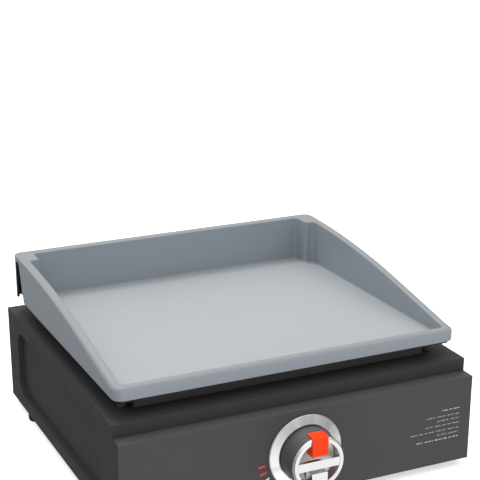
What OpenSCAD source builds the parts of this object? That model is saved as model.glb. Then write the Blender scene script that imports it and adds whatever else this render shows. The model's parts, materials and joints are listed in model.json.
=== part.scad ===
// Tabletop electric griddle with a wrap-over silicone cover on its cooking plate.
// Origin: middle of the overall footprint at table level. +X right, -Y front, +Z up.

/* [Housing] */
// Width across the side panels
body_w = 454.4; // [440:0.2:470]
// Depth from the front band to the rear panel
body_d = 404; // [396:0.2:420]
// Height from the lower edge to the top deck
body_h = 125.3; // [118:0.1:140]
// Thickness of the sheet steel
sheet = 1.5; // [1:0.1:2]
// Height of the narrow band below the deck's front edge
band_h = 16.2; // [12:0.1:20]
// How far the control panel stands in front of the band
panel_proud = 19.3; // [16:0.1:24]
// Height of the rubber feet
foot_h = 10; // [8:0.5:14]

/* [Side recess] */
// Depth of the pressed recess in each side panel
recess_depth = 7; // [4:0.5:8]
// Length of the recess, front to back
recess_len = 323; // [260:1:330]
// Height of the recess
recess_h = 90.6; // [70:0.2:92]
// Height of the recess above the housing's lower edge
recess_rise = 16.6; // [14:0.2:18]
// Corner radius of the recess
recess_r = 22; // [12:1:30]

/* [Cooking plate] */
// Clear height between the deck and the lower edge of the cover
deck_gap = 20.9; // [18:0.1:26]
// Thickness of the plate steel
plate_t = 3; // [2.5:0.1:4]
// Drop of the plate's floor from front to back, for draining
floor_fall = 5.5; // [3:0.1:6]
// Radius of the hinge-pin holes in the plate's rear corners
hinge_hole_r = 4; // [3:0.1:5]

/* [Cover] */
// Width over the skirt
cover_w = 438; // [430:0.2:442]
// Depth over the skirt
cover_d = 384.8; // [378:0.2:390]
// Height of the front lip above the skirt's lower edge
lip_h = 15.8; // [14:0.1:18]
// Height of the rear wall above the skirt's lower edge
back_h = 57.5; // [54:0.1:60]
// Slope of the straight front part of the side rims, in degrees
rim_slope = 10; // [9.5:0.1:10.5]
// Thickness of the silicone
skin = 3; // [2.5:0.1:3.2]
// Corner radius seen from above
cover_r = 12; // [8:0.5:16]

/* [Control knob] */
// Height of the knob's axis above the table
knob_z = 65.9; // [60:0.1:72]
// Radius of the knob's front ring
knob_r = 33.3; // [30:0.1:36]
// Inner radius of the ring
ring_inner_r = 26.3; // [24:0.1:28]
// Distance from the control panel to the front of the ring
ring_proud = 35.6; // [33:0.1:40]
// How far the pointer stands in front of the ring
pointer_proud = 2; // [1.5:0.1:6]
// Radius of the brushed bezel behind the knob
bezel_r = 47; // [44:0.5:52]

/* [Grease tray] */
// Width of the tray
tray_w = 120; // [90:1:140]
// Depth of the tray
tray_d = 60; // [50:1:62]
// Height of the tray
tray_h = 26; // [20:1:27]
// How far the tray's pull stands behind the housing
pull_proud = 10; // [8:0.5:14]

/* [Hidden] */
$fn = 64;

// Overall levels and depths
knob_front = ring_proud + pointer_proud;
total_d = knob_front + panel_proud + body_d + pull_proud;
panel_y = -total_d / 2 + knob_front;
front_y = panel_y + panel_proud;
rear_y = front_y + body_d;
mid_y = (front_y + rear_y) / 2;
deck_z = foot_h + body_h;
ledge_z = deck_z - band_h;
under_deck_z = deck_z - sheet;
pan_z = foot_h + sheet;
skirt_z = deck_z + deck_gap;
eps = 0.5;

// Plan of the cover and the plate, measured from the middle of the housing
rim_side = 11.3;
rim_front = 10.6;
rim_back = 13.5;
column_x = 13.5;
column_y = 26;
side_gap = (rim_side - 2 * skin - plate_t) / 2;
front_gap = (rim_front - 2 * skin - plate_t) / 2;
well_w = cover_w - 2 * rim_side;
well_front = -cover_d / 2 + rim_front;
well_back = cover_d / 2 - rim_back;
plate_w = cover_w - 2 * (skin + side_gap);
plate_front = -cover_d / 2 + skin + front_gap;
plate_back = cover_d / 2 - skin - side_gap;
post_x = well_w / 2 - column_x + skin + side_gap;
post_y = well_back - column_y + skin + side_gap;
lift_gap = 0.3;
floor_front_z = 3;
rim_clear = 0.5;
floor_t = skin + lift_gap;

// Side rim: straight slope at the front, then an arc that ends level at the back
arc_end_y = cover_d / 2 - rim_back + 1;
rim_r = (back_h - lip_h - (arc_end_y + cover_d / 2 - 14.8) * tan(rim_slope))
    / (1 - cos(rim_slope) - sin(rim_slope) * tan(rim_slope));
arc_start_y = arc_end_y - rim_r * sin(rim_slope);
lip_y = arc_start_y - (back_h - rim_r * (1 - cos(rim_slope)) - lip_h) / tan(rim_slope);
rim_arc_steps = 10;

// Hinge slot in the skirt and hinge hole in the plate
slot_y = 171;
slot_top_z = 44;
slot_top_r = 7.5;
slot_foot_front = 152;
slot_foot_back = 179;
corner_rise = 5;

// Heat opening, wind guard and reflector
guard_w = 376;
guard_front = -168;
guard_back = 134;
guard_h = 11;
guard_flange = 8;
reflector_w = 364;
reflector_front = -162;
reflector_back = 128;
reflector_depth = 44;
reflector_t = 1;
reflector_flange = 12;
reflector_z = under_deck_z - reflector_depth;

// Heating element: parallel runs joined by half-round bends
element_r = 4;
element_runs = 6;
element_pitch = 44;
element_half = 140;
element_first_y = (reflector_front + reflector_back - (element_runs - 1) * element_pitch) / 2;
element_last_y = element_first_y + (element_runs - 1) * element_pitch;
element_z = reflector_z + 22;
terminal_x = reflector_w / 2 + 18;

// Places of fasteners and feet, measured from the middle of the housing
foot_x = 215;
foot_front = -152;
foot_back = 129;
foot_r = 12;
peg_x = 199;
peg_front = -157;
peg_back = 135;
peg_r = 5;
locator_r = 3;
flange_w = 34;
rear_flange_w = 16;
top_flange_w = 12;
screw_r = 2;
stud_x = reflector_w / 2 + 6;
stud_rows = [-120, -10, 100];
drain_y = 165;
drain_r = 6;
spout_wall = 2;

// Tray bay
tray_z = 88;
tray_front = rear_y - tray_d - 4;
runner_t = 1.2;
tray_t = 1.2;
fascia_w = tray_w + 14;
fascia_h = 36;

// Power inlet
inlet_x = 150;
inlet_z = 50;
inlet_w = 28;
inlet_h = 20;
inlet_depth = 24;

// Thermostat
thermostat_w = 40;
thermostat_h = 34;
thermostat_d = 28;
thermostat_y = panel_y + 2 * sheet;
bulb_y = mid_y + reflector_front + 9;
bulb_z = reflector_z + 10;
cutout_x = 70;
cutout_y = mid_y - 100;
cutout_tab_z = reflector_z - 17;
earth_x = 108;
earth_y = 176;
earth_z = pan_z + sheet;

// Wires: radius, clear gap at each end, and the places where they start or end
wire_r = 1.6;
wire_gap = 0.3;
wire_lead = 10;
inlet_tab_y = rear_y - inlet_depth - 8;
tab_y = thermostat_y + thermostat_d + 8;
pin_places = [[-7, -0.4], [0, 3.6], [7, -0.4]];

// Knob
ring_t = 3;
ring_chamfer = 2.2;
dish_z = ring_proud - 18;
hook_w = 20;
hook_back = ring_proud - 13.5;
hook_top = knob_r + 0.9;
notch_r = knob_r - 2.3;
block_back = dish_z + 5.3;
block_top = sqrt(pow(ring_inner_r, 2) - pow(hook_w / 2, 2)) - 0.3;
thermostat_screw_x = 14;

// Rounded rectangle, centred
module rounded(w, d, r) {
    square([w - 2 * r, d], center = true);
    square([w, d - 2 * r], center = true);
    for (sx = [-1, 1])
        for (sy = [-1, 1])
            translate([sx * (w / 2 - r), sy * (d / 2 - r)]) circle(r);
}

// Outline drawn in Y and Z, extruded along X between two places
module along_x(x0, x1) {
    translate([x0, 0, 0]) rotate([90, 0, 90]) linear_extrude(x1 - x0) children();
}

// Outline drawn in X and Z, extruded along Y between two places
module along_y(y0, y1) {
    translate([0, y1, 0]) rotate([90, 0, 0]) linear_extrude(y1 - y0) children();
}

// Box given by its low and high corners
module box(low, high) {
    translate(low) cube(high - low);
}

// Round bar between a level and the one above it
module post(x, y, z0, z1, r) {
    translate([x, y, z0]) cylinder(h = z1 - z0, r = r);
}

// Slot with round ends, lying along X and cut through Z
module round_slot(len, w, h) {
    cube([len - w, w, h], center = true);
    for (s = [-1, 1]) translate([s * (len - w) / 2, 0, 0]) cylinder(h = h, r = w / 2, center = true);
}

// Shape made on the right and mirrored to the left
module both_sides() {
    children();
    mirror([1, 0, 0]) children();
}

// Shape placed from the middle of the housing
module from_middle() {
    translate([0, mid_y, 0]) children();
}

// Shape on the knob's axis: local Z is the distance in front of the control panel
module on_knob_axis() {
    translate([0, panel_y, knob_z]) rotate([90, 0, 0]) children();
}

// Pan-head screw standing on its tip, head upwards, with a crossed recess
module screw(r, len, head_r, head_h) {
    cylinder(h = len, r = r);
    translate([0, 0, len]) difference() {
        rotate_extrude() polygon([
            [0, 0], [head_r, 0], [head_r, head_h * 0.5], [head_r * 0.8, head_h], [0, head_h]]);
        for (a = [0, 90]) rotate(a) translate([0, 0, head_h])
            cube([head_r * 1.2, head_r * 0.28, head_h], center = true);
    }
}

// Hexagon nut with its bore
module nut(r, flat_r, h) {
    difference() {
        cylinder(h = h, r = flat_r, $fn = 6);
        translate([0, 0, -eps]) cylinder(h = h + 2 * eps, r = r, $fn = 32);
    }
}

// Smooth curve through a route's points, used for wires
function curve_point(a, b, c, d, t) = 0.5 * (2 * b + (c - a) * t
    + (2 * a - 5 * b + 4 * c - d) * t * t + (3 * b - a - 3 * c + d) * t * t * t);
function smooth_route(p, steps) = let (last = len(p) - 1) [
    for (i = [0 : last - 1])
        for (k = [0 : steps - 1])
            curve_point(p[max(i - 1, 0)], p[i], p[i + 1], p[min(i + 2, last)], k / steps),
    p[last]
];
function unit(v) = v / norm(v);
function ring_at(place, way, r, n) =
    let (u = unit(cross(way, [0.31, 0.52, 0.8])), v = cross(way, u))
    [for (k = [0 : n - 1]) place + r * (cos(360 * k / n) * u + sin(360 * k / n) * v)];

// Round tube swept along a route
module wire(route, r, steps = 4, n = 8) {
    path = smooth_route(route, steps);
    last = len(path) - 1;
    final = len(route) - 1;
    ways = [
        unit(route[1] - route[0]),
        for (i = [1 : last - 1]) unit(path[i + 1] - path[i - 1]),
        unit(route[final] - route[final - 1])
    ];
    polyhedron(
        points = [for (i = [0 : last]) each ring_at(path[i], ways[i], r, n)],
        faces = [
            [for (k = [0 : n - 1]) k],
            for (i = [0 : last - 1])
                for (k = [0 : n - 1])
                    let (a = i * n + k, b = i * n + (k + 1) % n)
                    each [[a, a + n, b + n], [a, b + n, b]],
            [for (k = [n - 1 : -1 : 0]) last * n + k]
        ]);
}

// Height of the side rim above the skirt's edge, sampled from front to back
function rim_curve() = [
    [-cover_d / 2, lip_h],
    [lip_y, lip_h],
    for (i = [0 : rim_arc_steps])
        let (a = rim_slope * (1 - i / rim_arc_steps))
        [arc_end_y - rim_r * sin(a), back_h - rim_r * (1 - cos(a))],
    [cover_d / 2, back_h]
];
function floor_z(y) = floor_front_z - floor_fall * (y - well_front) / (well_back - well_front);

// Everything below the side rim, lowered by a drop
module below_rim(drop) {
    along_x(-cover_w / 2, cover_w / 2) translate([0, skirt_z - drop]) polygon(concat(
        [[cover_d / 2, -40], [-cover_d / 2, -40]], rim_curve()));
}

// Everything above or below the sloping floor, moved by an offset
module floor_side(offset_z, far_z) {
    along_x(-cover_w / 2 - eps, cover_w / 2 + eps) translate([0, skirt_z]) polygon([
        [-cover_d / 2 - eps, floor_z(-cover_d / 2 - eps) + offset_z],
        [cover_d / 2 + eps, floor_z(cover_d / 2 + eps) + offset_z],
        [cover_d / 2 + eps, far_z],
        [-cover_d / 2 - eps, far_z]]);
}

// Plan of the tray-shaped well, with a column left standing in each rear corner
module well_plan(grow) {
    w = well_w + 2 * grow;
    front = well_front - grow;
    back = well_back + grow;
    difference() {
        translate([0, (front + back) / 2]) rounded(w, back - front, 4 + grow);
        for (s = [-1, 1]) translate([s * w / 2, back])
            square(2 * [column_x, column_y], center = true);
    }
}

// Folded edge of the side panel, seen from the side
module side_outline() {
    polygon([
        [panel_y + sheet, foot_h], [rear_y, foot_h], [rear_y, under_deck_z],
        [front_y + sheet, under_deck_z], [front_y + sheet, ledge_z], [panel_y + sheet, ledge_z]]);
}

module recess_outline(grow) {
    translate([mid_y, (foot_h + recess_rise + recess_h / 2)])
        rounded(recess_len + 2 * grow, recess_h + 2 * grow, recess_r + grow);
}

// Right side panel: stepped sheet with a pressed recess and three inward flanges
module side_panel() {
    outer = body_w / 2;
    inner = outer - recess_depth;
    difference() {
        union() {
            along_x(outer - sheet, outer) side_outline();
            along_x(inner - sheet, outer) recess_outline(sheet);
            box([outer - flange_w, front_y + 40, foot_h], [outer - sheet / 2, rear_y - 2 * sheet, pan_z]);
            box([outer - rear_flange_w, rear_y - 2 * sheet, foot_h],
                [outer - sheet / 2, rear_y - sheet, under_deck_z]);
            box([outer - top_flange_w, front_y + 2 * sheet, under_deck_z - sheet],
                [outer - sheet / 2, rear_y - sheet, under_deck_z]);
        }
        along_x(inner, outer + eps) recess_outline(0);
        from_middle() for (y = [foot_front, -70, 70, foot_back])
            post(foot_x, y, foot_h - eps, pan_z + eps, screw_r + 0.2);
        rear_screw_places() cylinder(h = 8, r = screw_r + 0.2, center = true);
    }
}

module side_panel_left() {
    color("#38383a") mirror([1, 0, 0]) side_panel();
}

module side_panel_right() {
    color("#38383a") side_panel();
}

// Deck with the heat opening, peg holes and drain hole, its front edge folded down as a band
module top_deck() {
    color("#3a3a3b") {
        difference() {
            union() {
                box([-body_w / 2, front_y, under_deck_z], [body_w / 2, rear_y, deck_z]);
                box([-body_w / 2, front_y, ledge_z], [body_w / 2, front_y + sheet, deck_z]);
            }
            from_middle() {
                box([-guard_w / 2 + guard_flange, guard_front + guard_flange, under_deck_z - 2],
                    [guard_w / 2 - guard_flange, guard_back - guard_flange, deck_z + eps]);
                both_sides() for (y = [peg_front, peg_back])
                    post(peg_x, y, under_deck_z - 2, deck_z + eps, locator_r + 0.6);
                post(0, drain_y, under_deck_z - 2, deck_z + eps, drain_r + spout_wall + 4);
            }
        }
        from_middle() both_sides() for (y = stud_rows)
            post(stud_x, y, under_deck_z - 10, under_deck_z + sheet / 2, screw_r);
    }
}

// Control panel: face, ledge folded back under the band, and lower flange
module front_panel() {
    color("#505051") difference() {
        union() {
            box([-body_w / 2, panel_y, foot_h], [body_w / 2, panel_y + sheet, ledge_z]);
            box([-body_w / 2 + sheet, panel_y + sheet / 2, ledge_z - sheet],
                [body_w / 2 - sheet, front_y + 8, ledge_z]);
            box([-body_w / 2 + sheet, panel_y + sheet / 2, foot_h],
                [body_w / 2 - sheet, front_y + 30, pan_z]);
        }
        on_knob_axis() cylinder(h = 10, r = 6, center = true);
        on_knob_axis() for (s = [-1, 1])
            translate([thermostat_screw_x * s, 0, 0])
                cylinder(h = 10, r = screw_r + 0.2, center = true);
        front_screw_places() cylinder(h = 8, r = screw_r + 0.2, center = true);
        from_middle() both_sides()
            post(foot_x, foot_front, foot_h - eps, pan_z + eps, screw_r + 0.2);
    }
}

module rear_panel() {
    color("#3a3a3b") difference() {
        box([-body_w / 2 + sheet, rear_y - sheet, foot_h],
            [body_w / 2 - sheet, rear_y, under_deck_z]);
        box([-tray_w / 2 - 2, rear_y - 4, tray_z - 2],
            [tray_w / 2 + 2, rear_y + eps, tray_z + tray_h + 2]);
        along_y(rear_y - 4, rear_y + eps) translate([inlet_x, inlet_z])
            square([inlet_w, inlet_h], center = true);
        inlet_screw_places() cylinder(h = 10, r = 1.8, center = true);
        rear_screw_places() cylinder(h = 8, r = screw_r + 0.2, center = true);
        for (x = [-170 : 14 : -72]) translate([x, rear_y, 100]) rotate([90, 90, 0]) round_slot(36, 5, 8);
        for (x = [100 : 14 : 170]) translate([x, rear_y, 100]) rotate([90, 90, 0]) round_slot(36, 5, 8);
    }
}

module bottom_pan() {
    color("#8f9295") difference() {
        box([-body_w / 2 + sheet + 0.3, panel_y + sheet + 0.3, pan_z],
            [body_w / 2 - sheet - 0.3, rear_y - 2 * sheet - 0.3, pan_z + sheet]);
        for (x = [-120 : 40 : 120])
            for (y = [-90, -30, 30, 90])
                translate([x, mid_y + y, pan_z]) rotate(90) round_slot(44, 6, 8);
        front_screw_places() cylinder(h = 12, r = screw_r, center = true);
        from_middle() both_sides() for (y = [foot_front, -70, 70, foot_back])
            post(foot_x, y, pan_z - eps, pan_z + 2 * sheet, screw_r + 0.2);
    }
}

module feet() {
    color("#161616") from_middle() both_sides() for (y = [foot_front, foot_back])
        translate([foot_x, y, 0]) rotate_extrude() polygon([
            [screw_r + 0.3, 5], [5.5, 5], [5.5, 0], [foot_r - 1.6, 0], [foot_r - 0.8, 0.3],
            [foot_r - 0.4, 1.2], [foot_r, foot_h], [screw_r + 0.3, foot_h]]);
}

module foot_screws() {
    color("#b8babc") from_middle() both_sides() for (y = [foot_front, foot_back])
        translate([foot_x, y, foot_h + 9]) rotate([180, 0, 0]) screw(screw_r, 14, 3.6, 2.4);
}

module foot_nuts() {
    color("#b8babc") from_middle() both_sides() for (y = [foot_front, foot_back])
        translate([foot_x, y, pan_z + sheet]) nut(screw_r + 0.05, 4, 3.2);
}

module front_screw_places() {
    for (x = [-120, 0, 120]) translate([x, front_y + 12, foot_h]) children();
}

// Screws under the base: front flange to pan, and side flanges to pan
module base_screws() {
    color("#b8babc") {
        front_screw_places() translate([0, 0, 6]) rotate([180, 0, 0]) screw(screw_r - 0.1, 6, 3.6, 2.2);
        from_middle() both_sides() for (y = [-70, 70])
            translate([foot_x, y, foot_h + 6]) rotate([180, 0, 0]) screw(screw_r - 0.1, 6, 3.6, 2.2);
    }
}

module rear_screw_places() {
    both_sides() for (z = [foot_h + 22, foot_h + 62, foot_h + 102])
        translate([body_w / 2 - 9, rear_y, z]) rotate([-90, 0, 0]) children();
}

module rear_screws() {
    color("#3a3a3b") rear_screw_places() translate([0, 0, -7]) screw(screw_r, 7, 3.6, 2);
}

// Upright fence around the heat opening, with a flange folded inwards onto the deck
module wind_guard() {
    depth = guard_back - guard_front;
    color("#232324") translate([0, mid_y + (guard_front + guard_back) / 2, deck_z]) difference() {
        linear_extrude(guard_h) square([guard_w, depth], center = true);
        translate([0, 0, sheet]) linear_extrude(guard_h)
            square([guard_w - 2 * sheet, depth - 2 * sheet], center = true);
        translate([0, 0, -eps]) linear_extrude(guard_h)
            square([guard_w, depth] - 2 * guard_flange * [1, 1], center = true);
    }
}

// Open reflector under the element, hung from the deck by its flange
module reflector_pan() {
    depth = reflector_back - reflector_front;
    plan = [reflector_w, depth];
    hole_rows = [element_first_y, element_last_y];
    color("#b9bcc0") difference() {
        union() {
            translate([0, mid_y + (reflector_front + reflector_back) / 2, 0]) difference() {
                union() {
                    translate([0, 0, reflector_z]) linear_extrude(reflector_depth)
                        square(plan, center = true);
                    translate([0, 0, under_deck_z - reflector_t]) linear_extrude(reflector_t)
                        square(plan + 2 * reflector_flange * [1, 1], center = true);
                }
                translate([0, 0, reflector_z + reflector_t]) linear_extrude(reflector_depth)
                    square(plan - 2 * reflector_t * [1, 1], center = true);
            }
        }
        from_middle() {
            both_sides() for (y = stud_rows)
                post(stud_x, y, under_deck_z - 5, under_deck_z + eps, screw_r + 0.3);
            for (y = hole_rows) translate([reflector_w / 2, y, element_z]) rotate([0, 90, 0])
                cylinder(h = 10, r = element_r + 2, center = true);
            post(0, drain_y, under_deck_z - 5, under_deck_z + eps, drain_r + spout_wall + 4);
        }
        translate([50, mid_y + reflector_front, bulb_z]) rotate([90, 0, 0])
            cylinder(h = 10, r = 2, center = true);
    }
}

module reflector_nuts() {
    color("#b8babc") from_middle() both_sides() for (y = stud_rows)
        translate([stud_x, y, under_deck_z - reflector_t - 3.2]) nut(screw_r + 0.05, 3.8, 3.2);
}

// Upright strips that the element is threaded through
module element_brackets() {
    strip_t = 1.5;
    color("#a9acb0") from_middle() for (x = [-100, 0, 100]) difference() {
        box([x - strip_t / 2, reflector_front + 18, reflector_z + reflector_t],
            [x + strip_t / 2, reflector_back - 12, element_z + 8]);
        for (i = [0 : element_runs - 1])
            translate([x, element_first_y + i * element_pitch, element_z]) rotate([0, 90, 0])
                cylinder(h = 6, r = element_r + 0.3, center = true);
    }
}

module heating_element() {
    color("#4b4744") translate([0, mid_y, element_z]) {
        for (i = [0 : element_runs - 1]) {
            y = element_first_y + i * element_pitch;
            is_end = i == 0 || i == element_runs - 1;
            right_end = is_end ? reflector_w / 2 + 6 : element_half;
            translate([-element_half, y, 0]) rotate([0, 90, 0])
                cylinder(h = right_end + element_half, r = element_r);
        }
        for (i = [0 : element_runs - 2]) {
            y = element_first_y + (i + 0.5) * element_pitch;
            at_left = i % 2 == 0;
            translate([at_left ? -element_half : element_half, y, 0]) rotate(at_left ? 90 : -90)
                rotate_extrude(angle = 180) translate([element_pitch / 2, 0]) circle(element_r);
        }
    }
}

module element_end_places() {
    for (y = [element_first_y, element_last_y])
        translate([reflector_w / 2, mid_y + y, element_z]) rotate([0, 90, 0]) children();
}

// Ceramic bushes where the element leaves the reflector
module element_bushings() {
    color("#e8e4da") element_end_places() difference() {
        union() {
            translate([0, 0, -reflector_t - 0.5]) cylinder(h = 5, r = element_r + 1.8);
            cylinder(h = 3, r = element_r + 4);
        }
        translate([0, 0, -4]) cylinder(h = 12, r = element_r + 0.1);
    }
}

// Cold pins at the element's ends, each with a flat tab
module element_terminals() {
    color("#c9a94f") element_end_places() {
        translate([0, 0, 6]) cylinder(h = 5, r = 2);
        translate([-3.15, -0.4, 10]) cube([6.3, 0.8, 8]);
    }
}

module thermostat_yoke() {
    color("#c4c6c8") difference() {
        union() {
            box([-22, thermostat_y - sheet, knob_z - 16], [22, thermostat_y, knob_z + 16]);
            on_knob_axis() translate([0, 0, -2 * sheet]) cylinder(h = 2 * sheet + 1, r = 5.5);
        }
        on_knob_axis() translate([0, 0, -10]) cylinder(h = 20, r = 3.06);
        on_knob_axis() for (s = [-1, 1])
            translate([thermostat_screw_x * s, 0, -10]) cylinder(h = 20, r = screw_r);
    }
}

module thermostat_body() {
    color("#2a211c") difference() {
        along_y(thermostat_y, thermostat_y + thermostat_d) translate([0, knob_z])
            rounded(thermostat_w, thermostat_h, 3);
        on_knob_axis() translate([0, 0, -2 * sheet - 12]) cylinder(h = 20, r = 3.5);
        on_knob_axis() for (s = [-1, 1])
            translate([thermostat_screw_x * s, 0, -2 * sheet - 9])
                cylinder(h = 12, r = screw_r + 0.2);
    }
}

module thermostat_tabs() {
    color("#c9a94f") for (x = [-10, 10])
        box([x - 3.15, thermostat_y + thermostat_d, knob_z - 8.4],
            [x + 3.15, thermostat_y + thermostat_d + 8, knob_z - 7.6]);
}

// Screws under the knob that clamp bezel, panel and yoke together
module thermostat_screws() {
    color("#b8babc") on_knob_axis() for (s = [-1, 1])
        translate([thermostat_screw_x * s, 0, -2 * sheet - 8])
            screw(screw_r - 0.05, 2 * sheet + 9.5, 3.5, 2.2);
}

module sensor_bulb() {
    color("#b5734a") translate([-40, bulb_y, bulb_z]) rotate([0, 90, 0]) {
        cylinder(h = 78, r = 3);
        translate([0, 0, 78]) cylinder(h = 4, r = 1.2);
    }
}

module bulb_clips() {
    color("#a9acb0") for (x = [-24, 20]) difference() {
        box([x, bulb_y - 4.2, reflector_z + reflector_t], [x + 5, bulb_y + 4.2, bulb_z + 3]);
        translate([x - 1, bulb_y, bulb_z]) rotate([0, 90, 0]) cylinder(h = 8, r = 3.1);
        box([x - 1, bulb_y - 2.4, bulb_z], [x + 6, bulb_y + 2.4, bulb_z + 5]);
        box([x - 1, bulb_y - 3.2, reflector_z + 2.4], [x + 6, bulb_y + 3.2, bulb_z - 4]);
    }
}

module capillary_tube() {
    top = thermostat_y + thermostat_d;
    color("#b5734a") wire([
        [42.3, bulb_y, bulb_z], [46, bulb_y, bulb_z], [50, bulb_y - 5, bulb_z],
        [50, bulb_y - 14, bulb_z], [42, bulb_y - 18, bulb_z - 6], [20, bulb_y - 14, 82],
        [4, top + 10, 76], [0, top + 5, knob_z + 6], [0, top + wire_gap, knob_z + 6]], 0.9, 3, 6);
}

module thermal_cutout() {
    color("#2a211c") translate([cutout_x, cutout_y, reflector_z - 9]) {
        cylinder(h = 7, r = 8);
        translate([0, 0, 7]) cylinder(h = 2, r = 9.5);
    }
}

module cutout_tabs() {
    color("#c9a94f") for (s = [-1, 1])
        box([cutout_x + s * 5 - 0.4, cutout_y - 3.15, cutout_tab_z],
            [cutout_x + s * 5 + 0.4, cutout_y + 3.15, reflector_z - 9]);
}

module inlet_screw_places() {
    for (s = [-1, 1]) translate([inlet_x + 20 * s, rear_y, inlet_z]) rotate([-90, 0, 0]) children();
}

// Appliance inlet: flanged socket with chamfered upper corners
module inlet_socket() {
    color("#1b1b1c") difference() {
        union() {
            along_y(rear_y - inlet_depth, rear_y + 1) translate([inlet_x, inlet_z])
                square([inlet_w - 0.4, inlet_h - 0.4], center = true);
            along_y(rear_y, rear_y + 3) translate([inlet_x, inlet_z]) rounded(50, 24, 4);
        }
        along_y(rear_y - inlet_depth + 5, rear_y + 4) translate([inlet_x, inlet_z]) polygon([
            [-11.8, -7.8], [11.8, -7.8], [11.8, 3], [7, 7.8], [-7, 7.8], [-11.8, 3]]);
        inlet_screw_places() translate([0, 0, -eps]) cylinder(h = 5, r = 1.9);
        inlet_pin_places() cube([2.2, 4.2, 12], center = true);
    }
}

module inlet_pin_places() {
    for (p = pin_places)
        translate([inlet_x + p[0], rear_y - inlet_depth, inlet_z + p[1]]) rotate([90, 0, 0]) children();
}

module inlet_pins() {
    color("#d6b25c") inlet_pin_places() {
        translate([0, 0, -6]) cube([2, 4, 28], center = true);
    }
}

module inlet_screws() {
    color("#b8babc") inlet_screw_places() translate([0, 0, -6]) screw(1.6, 9, 3, 1.8);
}

module earth_stud() {
    color("#c9a94f") post(earth_x, earth_y, earth_z, earth_z + 12, screw_r);
}

module earth_nut() {
    color("#b8babc") translate([earth_x, earth_y, earth_z + 2]) nut(screw_r + 0.05, 3.8, 3);
}

// Two route points that leave a terminal straight along a direction
function leaving(place, way) = [place + wire_gap * way, place + wire_lead * way];
function arriving(place, way) = [place + wire_lead * way, place + wire_gap * way];
function inlet_tab(i) = [inlet_x + pin_places[i][0], inlet_tab_y, inlet_z + pin_places[i][1]];
function thermostat_tab(s) = [10 * s, tab_y, knob_z - 8];
function cutout_tab(s) = [cutout_x + 5 * s, cutout_y, cutout_tab_z];
function element_tab(y) = [terminal_x, mid_y + y, element_z];

module wire_live() {
    color("#6b4a32") wire([
        each leaving(inlet_tab(2), [0, -1, 0]), [146, 150, 30], [110, 90, 20], [60, 0, 20],
        [24, -90, 22], [12, -134, 38], each arriving(thermostat_tab(1), [0, 1, 0])], wire_r);
}

module wire_neutral() {
    color("#3d6fb0") wire([
        each leaving(inlet_tab(0), [0, -1, 0]), [154, 168, 62], [186, 152, 78],
        [208, mid_y + element_last_y + 10, 90], [214, mid_y + element_last_y + 2, 102],
        each arriving(element_tab(element_last_y), [1, 0, 0])], wire_r);
}

module wire_earth() {
    color("#5aa04a") wire([
        each leaving(inlet_tab(1), [0, -1, 0]), [144, 172, 42], [130, 168, 28],
        each arriving([earth_x + 2, earth_y, earth_z + 8], [1, 0, 0])], wire_r);
}

module wire_switched() {
    color("#6b4a32") wire([
        each leaving(thermostat_tab(-1), [0, 1, 0]), [4, -128, 52], [40, -98, 48], [58, -80, 50],
        each arriving(cutout_tab(-1), [0, 0, -1])], wire_r);
}

module wire_cutout() {
    color("#6b4a32") wire([
        each leaving(cutout_tab(1), [0, 0, -1]), [92, -80, 56], [130, -86, 60], [180, -94, 74],
        [208, mid_y + element_first_y + 8, 90], [214, mid_y + element_first_y + 2, 102],
        each arriving(element_tab(element_first_y), [1, 0, 0])], wire_r);
}

// Angles under the deck that carry the grease tray
module tray_runners() {
    edge = tray_w / 2;
    color("#8f9295") both_sides() difference() {
        box([edge - 6, tray_front + 4, tray_z - runner_t],
            [edge + 1 + runner_t, rear_y - sheet, under_deck_z]);
        box([edge - 7, tray_front + 3, tray_z], [edge + 1, rear_y, under_deck_z + eps]);
    }
}

module knob_bezel() {
    color("#c9cbcd") on_knob_axis() difference() {
        rotate_extrude($fn = 96) polygon([
            [8, 0], [bezel_r, 0], [bezel_r, 2], [bezel_r - 1, 3], [knob_r + 3.2, 6], [knob_r + 2, 6],
            [knob_r + 2, 1.5], [8, 1.5]]);
        for (s = [-1, 1])
            translate([thermostat_screw_x * s, 0, -1]) cylinder(h = 4, r = screw_r + 0.2);
    }
}

module knob_body() {
    color("#3c3e3e") on_knob_axis() difference() {
        rotate_extrude($fn = 96) polygon([
            [0, 5], [9, 5], [9, dish_z - 4], [knob_r - 3, dish_z - 4], [knob_r - 2.4, 2.6],
            [knob_r + 1, 2.6], [knob_r, ring_proud - ring_t], [ring_inner_r + 0.4, ring_proud - ring_t],
            [ring_inner_r + 0.4, dish_z], [0, dish_z]]);
        translate([0, 0, 4]) d_bar(3.05, dish_z - 6);
        rim_notches();
    }
}

// Round bar with a flat along it
module d_bar(r, len) {
    difference() {
        cylinder(h = len, r = r);
        translate([-r, r - 1.2, -eps]) cube([2 * r, r, len + 2 * eps]);
    }
}

// Chrome ring with the bar across it
module knob_ring() {
    back = ring_proud - ring_t;
    color("#e4e6e8") on_knob_axis() {
        difference() {
            rotate_extrude($fn = 96) polygon([
                [ring_inner_r, back], [knob_r, back], [knob_r, ring_proud - ring_chamfer],
                [knob_r - ring_chamfer, ring_proud], [ring_inner_r + 0.6, ring_proud],
                [ring_inner_r, ring_proud - 0.6]]);
            rim_notches();
        }
        intersection() {
            translate([0, 0, back - 2]) cylinder(h = ring_t + 1.8, r = ring_inner_r + 0.2);
            translate([-knob_r, -6.5, back - 2]) cube([2 * knob_r, 10.5, ring_t + 1.8]);
        }
    }
}

// Polished concave dish behind the bar
module knob_dish() {
    steps = 6;
    bowl = [for (i = [0 : steps]) [ring_inner_r * i / steps, dish_z + 1 + 4 * pow(i / steps, 2)]];
    color("#d5d7d9") on_knob_axis() rotate_extrude($fn = 96)
        polygon(concat(bowl, [[ring_inner_r, dish_z], [0, dish_z]]));
}

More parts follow.
